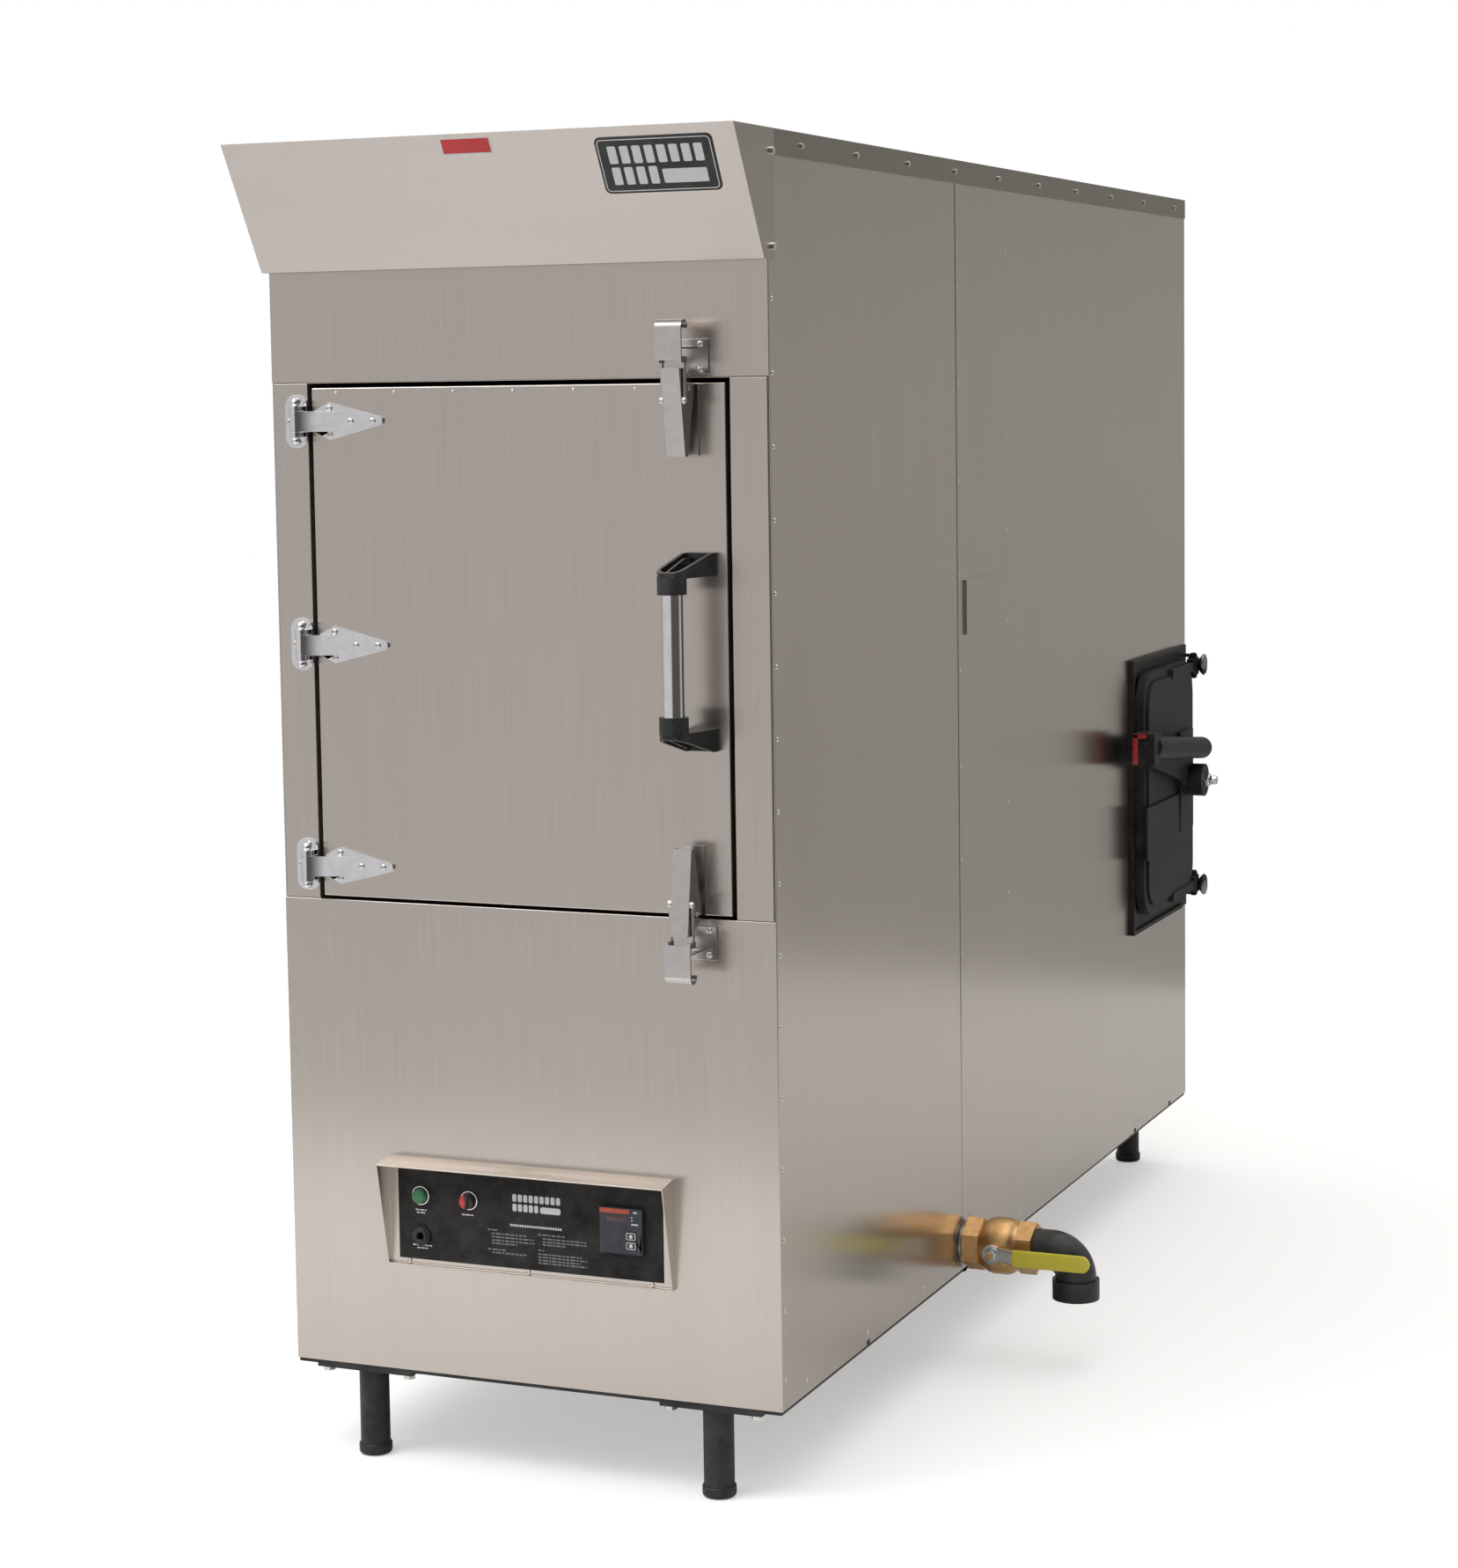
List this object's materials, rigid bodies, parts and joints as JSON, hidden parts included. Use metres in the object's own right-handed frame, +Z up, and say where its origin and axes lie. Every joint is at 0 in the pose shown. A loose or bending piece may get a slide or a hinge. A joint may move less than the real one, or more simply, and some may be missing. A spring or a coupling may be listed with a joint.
{
  "type": "cabinet smoker",
  "caption": "Deep stainless cabinet smoker on four legs with an insulated latched front door, hood, rotisserie, side fire door, drain valve and control panel.",
  "frame": {"origin": "on the floor at the centre of the four feet", "axes": "+Z up, the door faces -Y, the fire door and drain are on the +X side"},
  "size_m": [0.968, 2.241, 1.855],
  "materials": {
    "stainless_skin": "vertical brushed grain",
    "hood_stainless": "brushed grain",
    "liner_stainless": "mill finish",
    "chrome": "polished plating",
    "latch_steel": "satin nickel",
    "zinc_screw": "bright",
    "black_paint": "satin powder coat",
    "fire_black": "flat heat-resisting paint",
    "firebox_steel": "scaled dark steel",
    "black_plastic": "fine moulded texture",
    "panel_black": "satin printed plate",
    "controller_navy": "fine moulded texture",
    "key_plastic": "fine moulded texture",
    "green_plastic": "translucent gloss",
    "red_plastic": "gloss",
    "brass": "cast and machined",
    "valve_chrome": "plated ball and stem",
    "roof_stainless": "brushed, darker",
    "yellow_vinyl": "dipped vinyl",
    "pipe_steel": "threaded pipe",
    "abs_black": "moulded",
    "mineral_wool": "fibrous",
    "gasket": "woven rope",
    "machine_steel": "turned",
    "motor_paint": "hammered paint",
    "chain_steel": "oiled",
    "element_sheath": "oxidised sheath"
  },
  "bodies": {
    "cabinet": {"base_frame": "black_paint", "legs": "black_paint", "foot_caps": "black_plastic", "hex_screws": "zinc_screw", "bottom_pan": "liner_stainless", "side_panel_right": "stainless_skin", "side_panel_left": "stainless_skin", "rear_panel": "stainless_skin", "roof_cap": "roof_stainless", "front_panel_upper": "stainless_skin", "front_strips": "stainless_skin", "front_panel_lower": "stainless_skin", "hood": "hood_stainless", "panel_rivets": "zinc_screw", "side_cover_plate": "stainless_skin", "inner_liner": "liner_stainless", "insulation": "mineral_wool", "firebox_liner": "firebox_steel", "heating_element": "element_sheath", "wood_grate": "firebox_steel", "flue_collar": "liner_stainless", "power_gland": "black_plastic", "gearmotor": "motor_paint", "shaft_bearings": "machine_steel", "drive_chain": "chain_steel", "control_housing": "stainless_skin", "control_face": "panel_black", "temperature_controller": "controller_navy", "pedal_socket": "black_plastic", "hinge_plates": "chrome", "latch_keepers": "latch_steel", "fire_door_frame": "fire_black", "drain_nipple": "pipe_steel", "valve_body": "brass", "drain_elbow": "abs_black"},
    "door": {"door_shell": "stainless_skin", "door_liner": "liner_stainless", "door_insulation": "mineral_wool", "door_gasket": "gasket", "hinge_straps": "chrome", "handle_tube": "chrome", "handle_brackets": "black_plastic", "latch_bases": "latch_steel"},
    "upper_latch_lever": {"latch_lever_upper": "latch_steel"},
    "upper_latch_bail": {"latch_bail_upper": "latch_steel"},
    "lower_latch_lever": {"latch_lever_lower": "latch_steel"},
    "lower_latch_bail": {"latch_bail_lower": "latch_steel"},
    "fire_door": {"fire_door": "fire_black"},
    "fire_door_lever": {"fire_door_handle": "fire_black"},
    "drain_valve": {"valve_ball": "valve_chrome", "valve_lever": "yellow_vinyl"},
    "advance_button": {"advance_button": "green_plastic"},
    "selector": {"selector_knob": "red_plastic"},
    "key_up": {"key_up": "key_plastic"},
    "key_down": {"key_down": "key_plastic"},
    "reel": {"reel": "machine_steel"},
    "drive_sprocket": {"drive_sprocket": "machine_steel"},
    "rack_1": {"rack_1": "liner_stainless"},
    "rack_2": {"rack_2": "liner_stainless"},
    "rack_3": {"rack_3": "liner_stainless"}
  },
  "joints": [
    {"name": "door_hinge", "type": "hinge", "parent": "cabinet", "child": "door", "pos_m": [-0.323, -1.07, 1.154], "axis": [0, 0, -1], "range_deg": [0, 115]},
    {"name": "upper_latch", "type": "hinge", "parent": "door", "child": "upper_latch_lever", "pos_m": [0.255, -1.072, 1.501], "axis": [-1, 0, 0], "range_deg": [0, 65]},
    {"name": "upper_latch_hook", "type": "hinge", "parent": "upper_latch_lever", "child": "upper_latch_bail", "pos_m": [0.255, -1.095, 1.485], "axis": [-1, 0, 0], "range_deg": [-65, 0]},
    {"name": "lower_latch", "type": "hinge", "parent": "door", "child": "lower_latch_lever", "pos_m": [0.255, -1.072, 0.807], "axis": [1, 0, 0], "range_deg": [0, 65]},
    {"name": "lower_latch_hook", "type": "hinge", "parent": "lower_latch_lever", "child": "lower_latch_bail", "pos_m": [0.255, -1.095, 0.823], "axis": [1, 0, 0], "range_deg": [-65, 0]},
    {"name": "fire_door_hinge", "type": "hinge", "parent": "cabinet", "child": "fire_door", "pos_m": [0.393, 1.03, 0.753], "axis": [0, 0, 1], "range_deg": [0, 95]},
    {"name": "fire_door_latch", "type": "hinge", "parent": "fire_door", "child": "fire_door_lever", "pos_m": [0.425, 0.925, 0.757], "axis": [-1, 0, 0], "range_deg": [0, 45]},
    {"name": "drain_valve_turn", "type": "hinge", "parent": "cabinet", "child": "drain_valve", "pos_m": [0.433, -0.285, 0.176], "axis": [0, -1, 0], "range_deg": [0, 90]},
    {"name": "advance_press", "type": "slide", "parent": "cabinet", "child": "advance_button", "axis": [0, 1, 0], "range_m": [0, 0.003], "stiffness_N_per_m": 600},
    {"name": "selector_turn", "type": "hinge", "parent": "cabinet", "child": "selector", "pos_m": [-0.09, -1.06, 0.387], "axis": [0, -1, 0], "range_deg": [-45, 45]},
    {"name": "key_up_press", "type": "slide", "parent": "cabinet", "child": "key_up", "axis": [0, 1, 0], "range_m": [0, 0.0015], "stiffness_N_per_m": 500},
    {"name": "key_down_press", "type": "slide", "parent": "cabinet", "child": "key_down", "axis": [0, 1, 0], "range_m": [0, 0.0015], "stiffness_N_per_m": 500},
    {"name": "rotisserie_spin", "type": "hinge", "parent": "cabinet", "child": "reel", "pos_m": [0, -0.302, 1.34], "axis": [1, 0, 0], "continuous": true},
    {"name": "motor_spin", "type": "hinge", "parent": "cabinet", "child": "drive_sprocket", "pos_m": [-0.342, -0.302, 0.225], "axis": [1, 0, 0], "continuous": true},
    {"name": "rack_1_hang", "type": "hinge", "parent": "reel", "child": "rack_1", "pos_m": [0, -0.302, 1.74], "axis": [1, 0, 0], "continuous": true},
    {"name": "rack_2_hang", "type": "hinge", "parent": "reel", "child": "rack_2", "pos_m": [0, -0.64841, 1.14], "axis": [1, 0, 0], "continuous": true},
    {"name": "rack_3_hang", "type": "hinge", "parent": "reel", "child": "rack_3", "pos_m": [0, 0.04441, 1.14], "axis": [1, 0, 0], "continuous": true}
  ],
  "couplings": [
    {"joint": "upper_latch_hook", "follows": "upper_latch", "ratio": -1},
    {"joint": "lower_latch_hook", "follows": "lower_latch", "ratio": -1},
    {"joint": "motor_spin", "follows": "rotisserie_spin", "ratio": 2},
    {"joint": "rack_1_hang", "follows": "rotisserie_spin", "ratio": -1},
    {"joint": "rack_2_hang", "follows": "rotisserie_spin", "ratio": -1},
    {"joint": "rack_3_hang", "follows": "rotisserie_spin", "ratio": -1}
  ]
}
